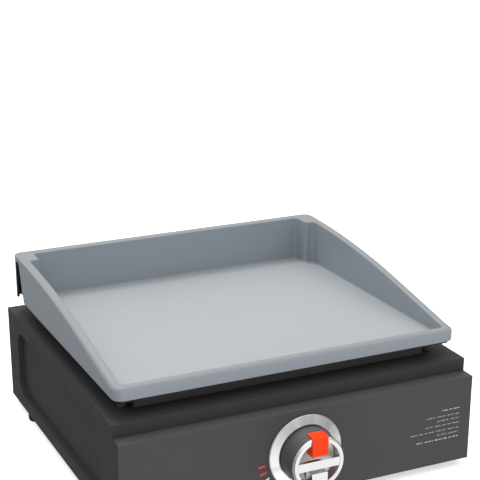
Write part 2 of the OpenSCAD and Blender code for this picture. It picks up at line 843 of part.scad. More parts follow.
// Insert in the knob's face: a block down to the dish, a flat front with a rounded shoulder, and a
// lip that lies in a notch of the rim
module rim_hook(start) {
    front = ring_proud + pointer_proud;
    shoulder = 4;
    rotate([90, 0, 90]) linear_extrude(hook_w, center = true) polygon(concat(
        [[start, block_back], [start, front - 0.6], [start + 0.6, front]],
        [for (a = [90 : -15 : 0])
            [hook_top - shoulder + shoulder * cos(a), front - shoulder + shoulder * sin(a)]],
        [[hook_top, hook_back], [notch_r + 0.2, hook_back], [notch_r + 0.2, ring_proud],
            [block_top, ring_proud], [block_top, block_back]]));
}

// Notches in the rim where the two inserts lie
module rim_notches() {
    for (a = [0, 180]) rotate(a)
        translate([-hook_w / 2 - 0.2, notch_r, hook_back - 0.2])
            cube([hook_w + 0.4, knob_r, ring_proud]);
}

module knob_pointer() {
    color("#ff5323") on_knob_axis() rim_hook(10.3);
}

module knob_tab() {
    color("#c9cbcd") on_knob_axis() rotate(180) rim_hook(11);
}

module knob_shaft() {
    color("#c4c6c8") on_knob_axis() {
        translate([0, 0, -14]) cylinder(h = 16, r = 3);
        translate([0, 0, 2]) d_bar(3, dish_z - 5);
    }
}

// Steel pan with sloping side walls, a draining floor and a hollow hinge post in each rear corner
module griddle_plate() {
    outer_mid = (plate_front + plate_back) / 2;
    outer_d = plate_back - plate_front;
    color("#2b2b2d") from_middle() difference() {
        intersection() {
            translate([0, outer_mid, skirt_z - 20]) linear_extrude(100) rounded(plate_w, outer_d, 8);
            below_rim(skin + rim_clear);
            floor_side(-floor_t - plate_t, 100);
        }
        intersection() {
            translate([0, 0, skirt_z - 20]) linear_extrude(100) plate_well_plan();
            floor_side(-floor_t, 100);
        }
        both_sides() {
            box([post_x + plate_t, post_y + plate_t, skirt_z - 20],
                [plate_w / 2 - plate_t, plate_back - plate_t, skirt_z + 100]);
            box([post_x + plate_t, post_y + plate_t, skirt_z - 20],
                [plate_w / 2 + eps, plate_back + eps, skirt_z + corner_rise]);
            translate([plate_w / 2 - plate_t - 1, slot_y, skirt_z + slot_top_z]) rotate([0, 90, 0])
                cylinder(h = plate_t + 2, r = hinge_hole_r);
        }
        post(0, drain_y, skirt_z - 30, skirt_z + 10, drain_r);
    }
}

// Plan of the pan's inside, leaving the hinge posts standing
module plate_well_plan() {
    inner_w = plate_w - 2 * plate_t;
    front = plate_front + plate_t;
    back = plate_back - plate_t;
    difference() {
        translate([0, (front + back) / 2]) rounded(inner_w, back - front, 5);
        for (s = [-1, 1]) translate([s * (post_x + 50), post_y + 50]) square(100, center = true);
    }
}

// Pegs that stand the plate on the deck, with locating pins below
module plate_pegs() {
    color("#232324") from_middle() difference() {
        both_sides() for (y = [peg_front, peg_back]) {
            post(peg_x, y, deck_z, skirt_z, peg_r);
            post(peg_x, y, deck_z - 6, deck_z, locator_r);
        }
        floor_side(-floor_t - plate_t, 100);
    }
}

// Short pipe under the plate's drain hole
module drain_spout() {
    color("#232324") from_middle() difference() {
        post(0, drain_y, tray_z + tray_h + 3, skirt_z, drain_r + spout_wall);
        post(0, drain_y, tray_z + tray_h, skirt_z + eps, drain_r);
        floor_side(-floor_t - plate_t, 100);
    }
}

// Notch in the skirt over the hinge hole, round at the top and wider at the foot
module hinge_slot() {
    along_x(cover_w / 2 - skin - side_gap, cover_w / 2 + eps) {
        translate([slot_y, skirt_z + slot_top_z]) circle(slot_top_r);
        translate([0, skirt_z]) polygon([
            [slot_y - slot_top_r, slot_top_z], [slot_y + slot_top_r, slot_top_z],
            [slot_foot_back, 0], [slot_foot_back, -1], [slot_foot_front - 4, -1], [slot_foot_front - 3, 1],
            [slot_foot_front, 6]]);
    }
}

// Silicone tray that drops over the plate: well, rim, and skirt outside the steel walls
module cover_mat() {
    color("#a9b1b7") from_middle() difference() {
        intersection() {
            translate([0, 0, skirt_z - 20]) linear_extrude(100) rounded(cover_w, cover_d, cover_r);
            below_rim(0);
            floor_side(-skin, 100);
        }
        intersection() {
            translate([0, 0, skirt_z - 20]) linear_extrude(100) well_plan(0);
            floor_side(0, 100);
        }
        intersection() {
            translate([0, 0, skirt_z - 20]) linear_extrude(100) difference() {
                rounded(cover_w - 2 * skin, cover_d - 2 * skin, cover_r - skin);
                well_plan(skin);
            }
            below_rim(skin);
        }
        translate([0, 0, skirt_z - 20]) linear_extrude(20) difference() {
            square([cover_w + 2, cover_d + 2], center = true);
            well_plan(skin);
        }
        both_sides() hinge_slot();
    }
}

module grease_tray() {
    half = tray_w / 2;
    color("#b9bcc0") {
        difference() {
            box([-half, tray_front, tray_z + 0.2], [half, rear_y - 0.5, tray_z + tray_h]);
            box([-half + tray_t, tray_front + tray_t, tray_z + 0.2 + tray_t],
                [half - tray_t, rear_y - 0.5 - tray_t, tray_z + tray_h + eps]);
        }
        box([-fascia_w / 2, rear_y + 0.3, tray_z - 5], [fascia_w / 2, rear_y + 1.5, tray_z - 5 + fascia_h]);
        box([-half + 4, rear_y - 1, tray_z + 4], [half - 4, rear_y + 0.5, tray_z + tray_h - 4]);
    }
}

// Finger lip on the tray's outer face
module tray_pull() {
    z0 = tray_z + 4;
    color("#2b2b2d") along_x(-32, 32) translate([rear_y + 1.5, z0]) polygon([
        [0, 0], [pull_proud - 4, 0], [pull_proud - 1.5, 2], [pull_proud - 1.5, 14], [pull_proud - 4.5, 14],
        [pull_proud - 4.5, 4], [2, 4], [2, 18], [0, 18]]);
}

top_deck();
side_panel_left();
side_panel_right();
front_panel();
rear_panel();
bottom_pan();
feet();
foot_screws();
foot_nuts();
base_screws();
rear_screws();
wind_guard();
reflector_pan();
reflector_nuts();
element_brackets();
heating_element();
element_bushings();
element_terminals();
thermostat_yoke();
thermostat_body();
thermostat_tabs();
thermostat_screws();
sensor_bulb();
bulb_clips();
capillary_tube();
thermal_cutout();
cutout_tabs();
inlet_socket();
inlet_pins();
inlet_screws();
earth_stud();
earth_nut();
wire_live();
wire_neutral();
wire_earth();
wire_switched();
wire_cutout();
tray_runners();
knob_bezel();
knob_body();
knob_ring();
knob_dish();
knob_pointer();
knob_tab();
knob_shaft();
griddle_plate();
plate_pegs();
drain_spout();
cover_mat();
grease_tray();
tray_pull();
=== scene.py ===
"""Looks of the tabletop griddle: silicone cover, painted housing, chrome knob and what is behind them."""

import json
import math

import bmesh
import bpy
from mathutils import Matrix, Vector


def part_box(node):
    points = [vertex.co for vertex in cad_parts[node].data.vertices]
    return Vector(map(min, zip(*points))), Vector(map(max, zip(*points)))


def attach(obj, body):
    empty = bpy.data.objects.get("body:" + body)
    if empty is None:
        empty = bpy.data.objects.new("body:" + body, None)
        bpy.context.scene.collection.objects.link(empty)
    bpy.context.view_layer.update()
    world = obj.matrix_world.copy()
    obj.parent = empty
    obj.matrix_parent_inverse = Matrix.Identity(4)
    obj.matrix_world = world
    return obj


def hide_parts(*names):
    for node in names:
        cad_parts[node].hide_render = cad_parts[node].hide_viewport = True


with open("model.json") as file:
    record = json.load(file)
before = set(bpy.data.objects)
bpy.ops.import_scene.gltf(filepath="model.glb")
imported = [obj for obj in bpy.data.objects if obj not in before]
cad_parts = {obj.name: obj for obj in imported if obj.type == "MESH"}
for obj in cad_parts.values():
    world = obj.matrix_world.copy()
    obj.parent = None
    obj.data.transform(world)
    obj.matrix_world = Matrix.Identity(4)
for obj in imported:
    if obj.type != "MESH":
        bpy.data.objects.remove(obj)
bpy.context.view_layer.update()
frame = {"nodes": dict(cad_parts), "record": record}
NODES = frame["nodes"]


def mm(value):
    """Millimetres to metres."""
    return value / 1000


# ---------------------------------------------------------------- materials


# The colour sockets of a Mix node, which share their names with its other sockets
MIX_FIRST, MIX_SECOND, MIX_RESULT = 6, 7, 2


class Shader:
    """A node material under construction, in object coordinates (metres)."""

    def __init__(self, name, color, roughness, metallic=0.0, **sockets):
        self.material = bpy.data.materials.new(name)
        self.material.use_nodes = True
        self.tree = self.material.node_tree
        self.bsdf = self.tree.nodes["Principled BSDF"]
        self.bsdf.inputs["Base Color"].default_value = (*color, 1)
        self.bsdf.inputs["Roughness"].default_value = roughness
        self.bsdf.inputs["Metallic"].default_value = metallic
        for socket, value in sockets.items():
            self.bsdf.inputs[socket.replace("_", " ")].default_value = value
        self.coords = self.tree.nodes.new("ShaderNodeTexCoord").outputs["Object"]

    def link(self, output, node_input):
        self.tree.links.new(output, node_input)

    def stretched(self, scale):
        """Object coordinates with their own scale along each axis."""
        node = self.tree.nodes.new("ShaderNodeMapping")
        node.inputs["Scale"].default_value = scale
        self.link(self.coords, node.inputs["Vector"])
        return node.outputs["Vector"]

    def noise(self, scale, detail=3.0, coords=None):
        node = self.tree.nodes.new("ShaderNodeTexNoise")
        node.inputs["Scale"].default_value = scale
        node.inputs["Detail"].default_value = detail
        self.link(coords or self.coords, node.inputs["Vector"])
        return node.outputs["Fac"]

    def remap(self, fac, low, high, from_low=0.3, from_high=0.7):
        node = self.tree.nodes.new("ShaderNodeMapRange")
        node.inputs["From Min"].default_value = from_low
        node.inputs["From Max"].default_value = from_high
        node.inputs["To Min"].default_value = low
        node.inputs["To Max"].default_value = high
        self.link(fac, node.inputs["Value"])
        return node.outputs["Result"]

    def mix(self, fac, first, second):
        """Blend of two colours, or of a colour and an output, by a factor."""
        node = self.tree.nodes.new("ShaderNodeMix")
        node.data_type = "RGBA"
        self.link(fac, node.inputs["Factor"])
        for value, socket in ((first, node.inputs[MIX_FIRST]), (second, node.inputs[MIX_SECOND])):
            if isinstance(value, tuple):
                socket.default_value = (*value, 1)
            else:
                self.link(value, socket)
        return node.outputs[MIX_RESULT]

    def vector(self, operation, output, constant=(0, 0, 0)):
        """Vector maths node on an output and a constant."""
        node = self.tree.nodes.new("ShaderNodeVectorMath")
        node.operation = operation
        node.inputs[1].default_value = constant
        self.link(output, node.inputs[0])
        return node

    def tinted(self, color, factor):
        """A colour output times a number output."""
        node = self.tree.nodes.new("ShaderNodeVectorMath")
        node.operation = "SCALE"
        self.link(color, node.inputs[0])
        self.link(factor, node.inputs["Scale"])
        return node.outputs["Vector"]

    def color(self, output):
        self.link(output, self.bsdf.inputs["Base Color"])

    def roughness(self, output):
        self.link(output, self.bsdf.inputs["Roughness"])

    def bump(self, *layers):
        """Stack of (height output, strength, depth in metres)."""
        below = None
        for height, strength, depth in layers:
            node = self.tree.nodes.new("ShaderNodeBump")
            node.inputs["Strength"].default_value = strength
            node.inputs["Distance"].default_value = depth
            self.link(height, node.inputs["Height"])
            if below:
                self.link(below, node.inputs["Normal"])
            below = node.outputs["Normal"]
        self.link(below, self.bsdf.inputs["Normal"])


def shade(color, factor):
    return tuple(min(1.0, channel * factor) for channel in color)


def powder_coat(name, color, roughness=0.55, gloss=0.1):
    """Matt paint on sheet steel: fine orange peel and slightly uneven gloss."""
    s = Shader(name, color, roughness, Specular_IOR_Level=gloss)
    s.color(s.mix(s.noise(9, 4), shade(color, 0.97), shade(color, 1.03)))
    s.roughness(s.remap(s.noise(60, 5), roughness - 0.03, roughness + 0.03))
    s.bump((s.noise(420, 2), 0.12, mm(0.05)), (s.noise(2600, 2), 0.15, mm(0.03)))
    return s.material


# Upward parts of the normal between which the side tone turns into the top tone, painted light, and how far
# each drifts
TOP_LIGHT_STARTS, TOP_LIGHT_FULL = 0.2, 0.85
SILICONE_DRIFT = 0.015


def silicone(name, color, top_light_color):
    """Matt silicone with a fine moulded grain; faces that look up take a second colour as painted light."""
    s = Shader(name, color, 0.42, Specular_IOR_Level=0.45, Sheen_Weight=0.05, Sheen_Roughness=0.4)
    facing = s.tree.nodes.new("ShaderNodeSeparateXYZ")
    normal = s.tree.nodes.new("ShaderNodeNewGeometry").outputs["Normal"]
    s.link(normal, facing.inputs["Vector"])
    # Painted light: the colour turns from the side tone to the top tone as the surface faces up
    top_light_share = s.remap(facing.outputs["Z"], 0, 1, TOP_LIGHT_STARTS, TOP_LIGHT_FULL)
    grain = s.noise(7, 5)
    side_tone = s.mix(grain, shade(color, 1 - SILICONE_DRIFT), shade(color, 1 + SILICONE_DRIFT))
    top_light_tone = s.mix(grain, shade(top_light_color, 1 - SILICONE_DRIFT), shade(top_light_color, 1 + SILICONE_DRIFT))
    s.color(s.mix(top_light_share, side_tone, top_light_tone))
    s.roughness(s.remap(s.noise(45, 4), 0.38, 0.46))
    s.bump((s.noise(1500, 3), 0.16, mm(0.05)))
    return s.material


def rubber(name, color):
    s = Shader(name, color, 0.75, Specular_IOR_Level=0.3)
    s.color(s.mix(s.noise(160, 4), shade(color, 0.8), shade(color, 1.3)))
    s.bump((s.noise(1200, 3), 0.3, mm(0.08)))
    return s.material


def sheet_metal(name, color, roughness, stretch=(30, 900, 900)):
    """Rolled sheet: fine lines along one axis, with faint smears."""
    s = Shader(name, color, roughness, metallic=1.0)
    lines = s.noise(1, 4, s.stretched(stretch))
    smears = s.noise(14, 4)
    s.color(s.mix(smears, shade(color, 0.88), shade(color, 1.08)))
    s.roughness(s.remap(lines, roughness - 0.08, roughness + 0.1))
    s.bump((lines, 0.12, mm(0.04)))
    return s.material


def chrome(name, color, roughness=0.08):
    """Polished plating with faint handling marks."""
    s = Shader(name, color, roughness, metallic=1.0)
    s.color(s.mix(s.noise(35, 3), shade(color, 0.97), color))
    s.roughness(s.remap(s.noise(90, 5), roughness * 0.6, roughness * 1.5))
    return s.material


# Scale of the noise that draws the brushed circles, per metre of radius
BRUSH_LINES = 3200


def turned_steel(name, color, center, highlight_towards=(0, 0, 0), spread=0.0):
    """Steel brushed in circles round Y through center; painted highlight: paler by spread towards one side.
    """
    s = Shader(name, color, 0.34, metallic=1.0, Anisotropic=0.75)
    tangent = s.tree.nodes.new("ShaderNodeTangent")
    tangent.direction_type = "RADIAL"
    tangent.axis = "Y"
    s.link(tangent.outputs["Tangent"], s.bsdf.inputs["Tangent"])
    moved = s.vector("SUBTRACT", s.coords, center)
    flat = s.vector("MULTIPLY", moved.outputs["Vector"], (1, 0, 1))
    radius = s.vector("LENGTH", flat.outputs["Vector"])
    rings = s.tree.nodes.new("ShaderNodeTexNoise")
    rings.noise_dimensions = "1D"
    rings.inputs["Scale"].default_value = BRUSH_LINES
    rings.inputs["Detail"].default_value = 2
    s.link(radius.outputs["Value"], rings.inputs["W"])
    outward = s.vector("NORMALIZE", flat.outputs["Vector"])
    painted_streaks = s.noise(2.2, 2, outward.outputs["Vector"])
    # Painted highlight and painted reflection streaks: paler on the side facing the given direction, darker
    # opposite, streaked round the axis, by spread
    side = s.vector("DOT_PRODUCT", outward.outputs["Vector"], highlight_towards).outputs["Value"]
    painted_highlight = s.mix(s.remap(side, 0, 1, -1, 1), shade(color, 1 - spread), shade(color, 1 + spread))
    s.color(s.tinted(painted_highlight, s.remap(painted_streaks, 1 - spread / 2, 1 + spread / 2)))
    s.roughness(s.remap(rings.outputs["Fac"], 0.28, 0.42))
    s.bump((rings.outputs["Fac"], 0.1, mm(0.02)))
    return s.material


def moulded_plastic(name, color, roughness, gloss=0.5):
    s = Shader(name, color, roughness, Specular_IOR_Level=gloss)
    s.color(s.mix(s.noise(80, 3), shade(color, 0.96), shade(color, 1.04)))
    s.roughness(s.remap(s.noise(140, 4), roughness * 0.85, roughness * 1.15))
    s.bump((s.noise(1400, 2), 0.08, mm(0.03)))
    return s.material


def seasoned_steel(name, color):
    """Dark cooking steel: mottled oil film over a fine ground surface."""
    s = Shader(name, color, 0.45, metallic=0.3, Specular_IOR_Level=0.35)
    blotches = s.noise(26, 6)
    s.color(s.mix(blotches, shade(color, 0.7), (color[0] * 1.5, color[1] * 1.3, color[2] * 1.1)))
    s.roughness(s.remap(blotches, 0.36, 0.55))
    s.bump((s.noise(500, 4), 0.2, mm(0.06)))
    return s.material


def heated_sheath(name, color):
    """Element tube with straw and blue heat tints along it."""
    s = Shader(name, color, 0.45, metallic=0.85)
    tint = s.mix(s.noise(11, 3), (0.16, 0.11, 0.07), (0.07, 0.075, 0.1))
    s.color(s.mix(s.noise(120, 5), tint, color))
    s.roughness(s.remap(s.noise(200, 4), 0.35, 0.6))
    s.bump((s.noise(900, 3), 0.2, mm(0.04)))
    return s.material


def ceramic(name, color):
    s = Shader(name, color, 0.55)
    s.color(s.mix(s.noise(300, 4), shade(color, 0.9), color))
    s.bump((s.noise(1800, 3), 0.2, mm(0.04)))
    return s.material


def printed_ink(name, color):
    """Screen print: slightly uneven cover over the paint."""
    s = Shader(name, color, 0.55)
    s.color(s.mix(s.noise(900, 3), shade(color, 0.85), color))
    s.bump((s.noise(2600, 2), 0.1, mm(0.02)))
    return s.material


knob_low, knob_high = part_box("knob_bezel")
KNOB_X = (knob_low.x + knob_high.x) / 2
KNOB_Z = (knob_low.z + knob_high.z) / 2
PANEL_Y = knob_high.y
KNOB_AXIS = (KNOB_X, 0, KNOB_Z)

SILICONE_GREY = (0.26, 0.293, 0.333)
# Painted light: the tone that up-facing silicone takes in place of the grey
SILICONE_TOP_LIGHT_TONE = (0.226, 0.242, 0.254)
# Painted light: a paler copy of the silicone for the well's floor
SILICONE_LIT_FLOOR = (0.335, 0.357, 0.373)
# Painted shade: near-black silicone in the hollow under the rim and on the slot's cut faces
SILICONE_HOLLOW_SHADE = (0.02, 0.021, 0.023)
CHARCOAL = (0.046, 0.045, 0.046)
PANEL_GREY = (0.071, 0.071, 0.071)

finish = {
    "shell_paint": powder_coat("shell_paint", CHARCOAL),
    "panel_paint": powder_coat("panel_paint", PANEL_GREY),
    "pan_steel": sheet_metal("pan_steel", (0.46, 0.47, 0.48), 0.42),
    "foot_rubber": rubber("foot_rubber", (0.018, 0.018, 0.018)),
    "screw_steel": sheet_metal("screw_steel", (0.55, 0.56, 0.57), 0.3, (300, 300, 300)),
    "dark_screw": powder_coat("dark_screw", (0.04, 0.04, 0.04), 0.4),
    "guard_steel": powder_coat("guard_steel", (0.07, 0.068, 0.068), 0.5),
    "reflector": sheet_metal("reflector", (0.72, 0.73, 0.75), 0.24),
    "element_sheath": heated_sheath("element_sheath", (0.07, 0.066, 0.062)),
    "ceramic": ceramic("ceramic", (0.74, 0.72, 0.66)),
    "tab_brass": sheet_metal("tab_brass", (0.72, 0.53, 0.22), 0.3, (300, 300, 300)),
    "phenolic": moulded_plastic("phenolic", (0.03, 0.02, 0.016), 0.45),
    "copper_tube": sheet_metal("copper_tube", (0.62, 0.32, 0.2), 0.32, (300, 300, 300)),
    "inlet_plastic": moulded_plastic("inlet_plastic", (0.014, 0.014, 0.015), 0.35),
    "wire_brown": moulded_plastic("wire_brown", (0.12, 0.055, 0.03), 0.45),
    "wire_blue": moulded_plastic("wire_blue", (0.04, 0.13, 0.42), 0.45),
    "wire_green": moulded_plastic("wire_green", (0.09, 0.3, 0.06), 0.45),
    # Painted highlight: the bezel steel is paler towards the bottom
    "bezel_steel": turned_steel("bezel_steel", (0.69, 0.69, 0.69), KNOB_AXIS, (-0.2, 0, -0.98), 0.45),
    "knob_plastic": moulded_plastic("knob_plastic", (0.076, 0.078, 0.078), 0.5),
    "chrome": chrome("chrome", (0.72, 0.72, 0.72), 0.12),
    "pointer_orange": moulded_plastic("pointer_orange", (1, 0.056, 0.006), 0.4, gloss=0.12),
    "tab_silver": chrome("tab_silver", (0.74, 0.74, 0.74), 0.2),
    "plate_steel": seasoned_steel("plate_steel", (0.014, 0.0135, 0.013)),
    "silicone": silicone("silicone", SILICONE_GREY, SILICONE_TOP_LIGHT_TONE),
    "tray_steel": sheet_metal("tray_steel", (0.55, 0.56, 0.57), 0.34),
    "pull_black": moulded_plastic("pull_black", (0.022, 0.022, 0.024), 0.45),
}
silicone_lit_floor = silicone("silicone_lit_floor", SILICONE_LIT_FLOOR, SILICONE_LIT_FLOOR)
silicone_hollow_shade = silicone("silicone_hollow_shade", SILICONE_HOLLOW_SHADE, SILICONE_HOLLOW_SHADE)
# Painted highlight: the cup steel is paler towards the upper left
cup_steel = turned_steel("cup_steel", (0.78, 0.78, 0.78), KNOB_AXIS, (-0.5, 0, 0.85), 0.15)
mark_red = printed_ink("mark_red", (0.75, 0.045, 0.045))
mark_white = printed_ink("mark_white", (0.8, 0.8, 0.8))
print_ink = printed_ink("print_ink", (0.55, 0.55, 0.55))
faint_ink = printed_ink("faint_ink", (0.36, 0.36, 0.36))

SLOT_OF_NODE = {part["node"]: part["material_slot"] for part in frame["record"]["subparts"]}


# ---------------------------------------------------------------- shared mesh tools


# Faces closer than this count as one flat face
FLAT_ANGLE = math.radians(1)


def new_object(name, mesh, material):
    obj = bpy.data.objects.new(name, mesh)
    bpy.context.scene.collection.objects.link(obj)
    mesh.materials.clear()
    mesh.materials.append(material)
    return obj


def mesh_from(name, vertices, faces):
    mesh = bpy.data.meshes.new(name)
    mesh.from_pydata([tuple(v) for v in vertices], [], faces)
    mesh.validate()
    return mesh


def smooth(obj):
    for polygon in obj.data.polygons:
        polygon.use_smooth = True


def merge_flats(obj):
    """Joins the triangles of flat faces, as a modifier, so a CAD mesh stays as it is."""
    merge = obj.modifiers.new("merge_flats", "DECIMATE")
    merge.decimate_type = "DISSOLVE"
    merge.angle_limit = FLAT_ANGLE
    smooth(obj)


def face_outwards(mesh):
    bm = bmesh.new()
    bm.from_mesh(mesh)
    bmesh.ops.recalc_face_normals(bm, faces=bm.faces)
    bm.to_mesh(mesh)
    bm.free()


def frozen(obj):
    """Applies a piece's modifiers to its mesh."""
    graph = bpy.context.evaluated_depsgraph_get()
    mesh = bpy.data.meshes.new_from_object(obj.evaluated_get(graph))
    obj.modifiers.clear()
    obj.data = mesh
    return obj


# ---------------------------------------------------------------- silicone cover

cover_low, cover_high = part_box("cover_mat")
COVER_MID_Y = (cover_low.y + cover_high.y) / 2
HALF_W = cover_high.x
HALF_D = (cover_high.y - cover_low.y) / 2
BACK_H = mm(57.5)
LIP_H = mm(15.8)
SKIRT_Z = cover_high.z - BACK_H
SKIN = mm(3)
CORNER_R = mm(12)
RIM_SIDE = mm(11.3)
RIM_FRONT = mm(10.6)
RIM_BACK = mm(13.5)
COLUMN_X = mm(13.5)
COLUMN_Y = mm(26)
WELL_HALF_W = HALF_W - RIM_SIDE
WELL_FRONT = -HALF_D + RIM_FRONT
WELL_BACK = HALF_D - RIM_BACK
FLOOR_FRONT = mm(3)
FLOOR_FALL = mm(5.5)
INNER_R = mm(6)
COLUMN_R = mm(5)
RIM_OUTER_W = mm(6)
RIM_DROP_FRONT = mm(4.5)
RIM_DROP_BACK = mm(1)
RIM_INNER_FILLET = mm(1.8)
FLOOR_FILLET = mm(1.8)
HEM_FILLET = mm(0.6)

# Side rim: level for LIP_RUN at the front, a straight slope, then an arc that ends level
RIM_SLOPE = math.radians(10)
ARC_END_Y = HALF_D - RIM_BACK + mm(1)
LIP_RUN = mm(14.8)
ARC_R = (BACK_H - LIP_H - (ARC_END_Y + HALF_D - LIP_RUN) * math.tan(RIM_SLOPE)) / (
    1 - math.cos(RIM_SLOPE) - math.sin(RIM_SLOPE) * math.tan(RIM_SLOPE))
ARC_START_Y = ARC_END_Y - ARC_R * math.sin(RIM_SLOPE)
LIP_BLEND = mm(8)


def rim_z(y):
    """Height of the rim's top above the skirt's lower edge."""
    if y >= ARC_END_Y:
        return BACK_H
    if y >= ARC_START_Y:
        return BACK_H - ARC_R + math.sqrt(ARC_R ** 2 - (ARC_END_Y - y) ** 2)
    start_z = BACK_H - ARC_R * (1 - math.cos(RIM_SLOPE))
    slope = start_z - (ARC_START_Y - y) * math.tan(RIM_SLOPE)
    gap = (slope - LIP_H) / (LIP_BLEND * math.tan(RIM_SLOPE))
    if gap >= 1:
        return slope
    if gap <= -1:
        return LIP_H
    return LIP_H + LIP_BLEND * math.tan(RIM_SLOPE) * (gap + 1) ** 2 / 4


def floor_z(y):
    return FLOOR_FRONT - FLOOR_FALL * (y - WELL_FRONT) / (WELL_BACK - WELL_FRONT)


def arc(cx, cy, r, start, end, steps):
    """Points along a circular arc; angles in degrees."""
    angles = [math.radians(start + (end - start) * i / steps) for i in range(steps + 1)]
    return [Vector((cx + r * math.cos(a), cy + r * math.sin(a))) for a in angles]


def spread(points, count):
    """The same polyline with count points at even distances."""
    steps = [(b - a).length for a, b in zip(points, points[1:])]
    total = sum(steps)
    result = []
    index, passed = 0, 0.0
    for i in range(count):
        target = total * i / (count - 1)
        while index < len(steps) - 1 and passed + steps[index] < target:
            passed += steps[index]
            index += 1
        share = (target - passed) / steps[index]
        result.append(points[index].lerp(points[index + 1], min(1.0, max(0.0, share))))
    return result


FRONT_POINTS, CORNER_POINTS, SIDE_POINTS, COLUMN_POINTS, BACK_POINTS = 14, 9, 56, 48, 14


def closed_ring(sections):
    """Right half of a plan outline, section by section, mirrored into a closed ring."""
    right = []
    for points, count in sections:
        part = spread(points, count)
        right += part if not right else part[1:]
    left = [Vector((-p.x, p.y)) for p in reversed(right[1:-1])]
    return right + left


def outer_ring(d):
    """Plan outline of the skirt, moved outwards by d."""
    x, y, r = HALF_W + d, HALF_D + d, CORNER_R + d
    column_start = WELL_BACK - COLUMN_Y - INNER_R
    back_end = WELL_HALF_W - COLUMN_X - INNER_R
    corner = arc(x - r, y - r, r, 0, 90, 16)
    return closed_ring([
        ([Vector((0, -y)), Vector((x - r, -y))], FRONT_POINTS),
        (arc(x - r, -y + r, r, -90, 0, 16), CORNER_POINTS),
        ([Vector((x, -y + r)), Vector((x, column_start))], SIDE_POINTS),
        ([Vector((x, column_start)), *corner, Vector((back_end, y))], COLUMN_POINTS),
        ([Vector((back_end, y)), Vector((0, y))], BACK_POINTS),
    ])


def inner_ring(d):
    """Plan outline of the well, moved outwards by d, with its rear-corner columns."""
    x, front, back, r = WELL_HALF_W + d, WELL_FRONT - d, WELL_BACK + d, INNER_R + d
    column_x = WELL_HALF_W - COLUMN_X + d
    column_y = WELL_BACK - COLUMN_Y + d
    rc = COLUMN_R - d
    column = (
        arc(x - r, column_y - r, r, 0, 90, 8)
        + arc(column_x + rc, column_y + rc, rc, 270, 180, 8)
        + arc(column_x - r, back - r, r, 0, 90, 8)
    )
    return closed_ring([
        ([Vector((0, front)), Vector((x - r, front))], FRONT_POINTS),
        (arc(x - r, front + r, r, -90, 0, 16), CORNER_POINTS),
        ([Vector((x, front + r)), column[0]], SIDE_POINTS),
        (column, COLUMN_POINTS),
        ([column[-1], Vector((0, back))], BACK_POINTS),
    ])


def crown_drop(y):
    """How far the rim's rounded outer edge falls; less towards the back."""
    return RIM_DROP_FRONT + (RIM_DROP_BACK - RIM_DROP_FRONT) * (y + HALF_D) / (2 * HALF_D)


def lifted(ring, height):
    """Ring of plan points placed at height(y) above the skirt's edge."""
    return [Vector((p.x, p.y + COVER_MID_Y, SKIRT_Z + height(p.y))) for p in ring]


def quarter(steps):
    """Angles of a quarter turn, ends included, in radians."""
    return [math.pi / 2 * i / steps for i in range(steps + 1)]


def cover_rings():
    """Rings from the underside, round the skirt and over the rim, down to the floor."""
    rings = [
        lifted(inner_ring(SKIN), lambda y: floor_z(y) - SKIN),
        lifted(inner_ring(SKIN), lambda y: rim_z(y) - SKIN),
        lifted(outer_ring(-SKIN), lambda y: rim_z(y) - SKIN),
        lifted(outer_ring(-SKIN), lambda y: HEM_FILLET),
        lifted(outer_ring(HEM_FILLET - SKIN), lambda y: 0),
        lifted(outer_ring(-HEM_FILLET), lambda y: 0),
        lifted(outer_ring(0), lambda y: HEM_FILLET),
    ]
    for a in quarter(7):
        d, share = -RIM_OUTER_W * (1 - math.cos(a)), 1 - math.sin(a)
        rings.append(lifted(outer_ring(d), lambda y, share=share: rim_z(y) - crown_drop(y) * share))
    for a in reversed(quarter(5)):
        d = RIM_INNER_FILLET * (1 - math.cos(a))
        drop = RIM_INNER_FILLET * (1 - math.sin(a))
        rings.append(lifted(inner_ring(d), lambda y, drop=drop: rim_z(y) - drop))
    for a in quarter(5):
        d, rise = -FLOOR_FILLET * (1 - math.cos(a)), FLOOR_FILLET * (1 - math.sin(a))
        rings.append(lifted(inner_ring(d), lambda y, rise=rise: floor_z(y) + rise))
    return rings


def loft(name, rings):
    """Closed solid from rings of equal length, capped at both ends."""
    count = len(rings[0])
    vertices = [v for ring in rings for v in ring]
    faces = [list(range(count - 1, -1, -1))]
    for level in range(len(rings) - 1):
        low, high = level * count, (level + 1) * count
        for i in range(count):
            j = (i + 1) % count
            faces.append([low + i, low + j, high + j, high + i])
    last = (len(rings) - 1) * count
    faces.append(list(range(last, last + count)))
    return mesh_from(name, vertices, faces)


SLOT_Y = mm(171)
SLOT_TOP_Z = mm(44)
SLOT_TOP_R = mm(7.5)
SLOT_FOOT_BACK = mm(179)
SLOT_FOOT_FRONT = mm(152)
SLOT_FLARE = mm(5)
CUT_MARGIN = mm(2)
CUT_BEHIND_SKIN = mm(0.6)
CUT_OUTSIDE = mm(1)


def slot_outline():
    """Hinge slot seen from the side: round top, sloping front edge that flares at the foot."""
    head = arc(SLOT_Y, SLOT_TOP_Z, SLOT_TOP_R, 0, 180, 14)
    flare = arc(SLOT_FOOT_FRONT - SLOT_FLARE, SLOT_FLARE, SLOT_FLARE, 0, -90, 6)
    below = -CUT_MARGIN
    return (
        [Vector((SLOT_FOOT_BACK, below)), Vector((SLOT_FOOT_BACK, 0))]
        + head + flare + [Vector((SLOT_FOOT_FRONT - SLOT_FLARE, below))]
    )


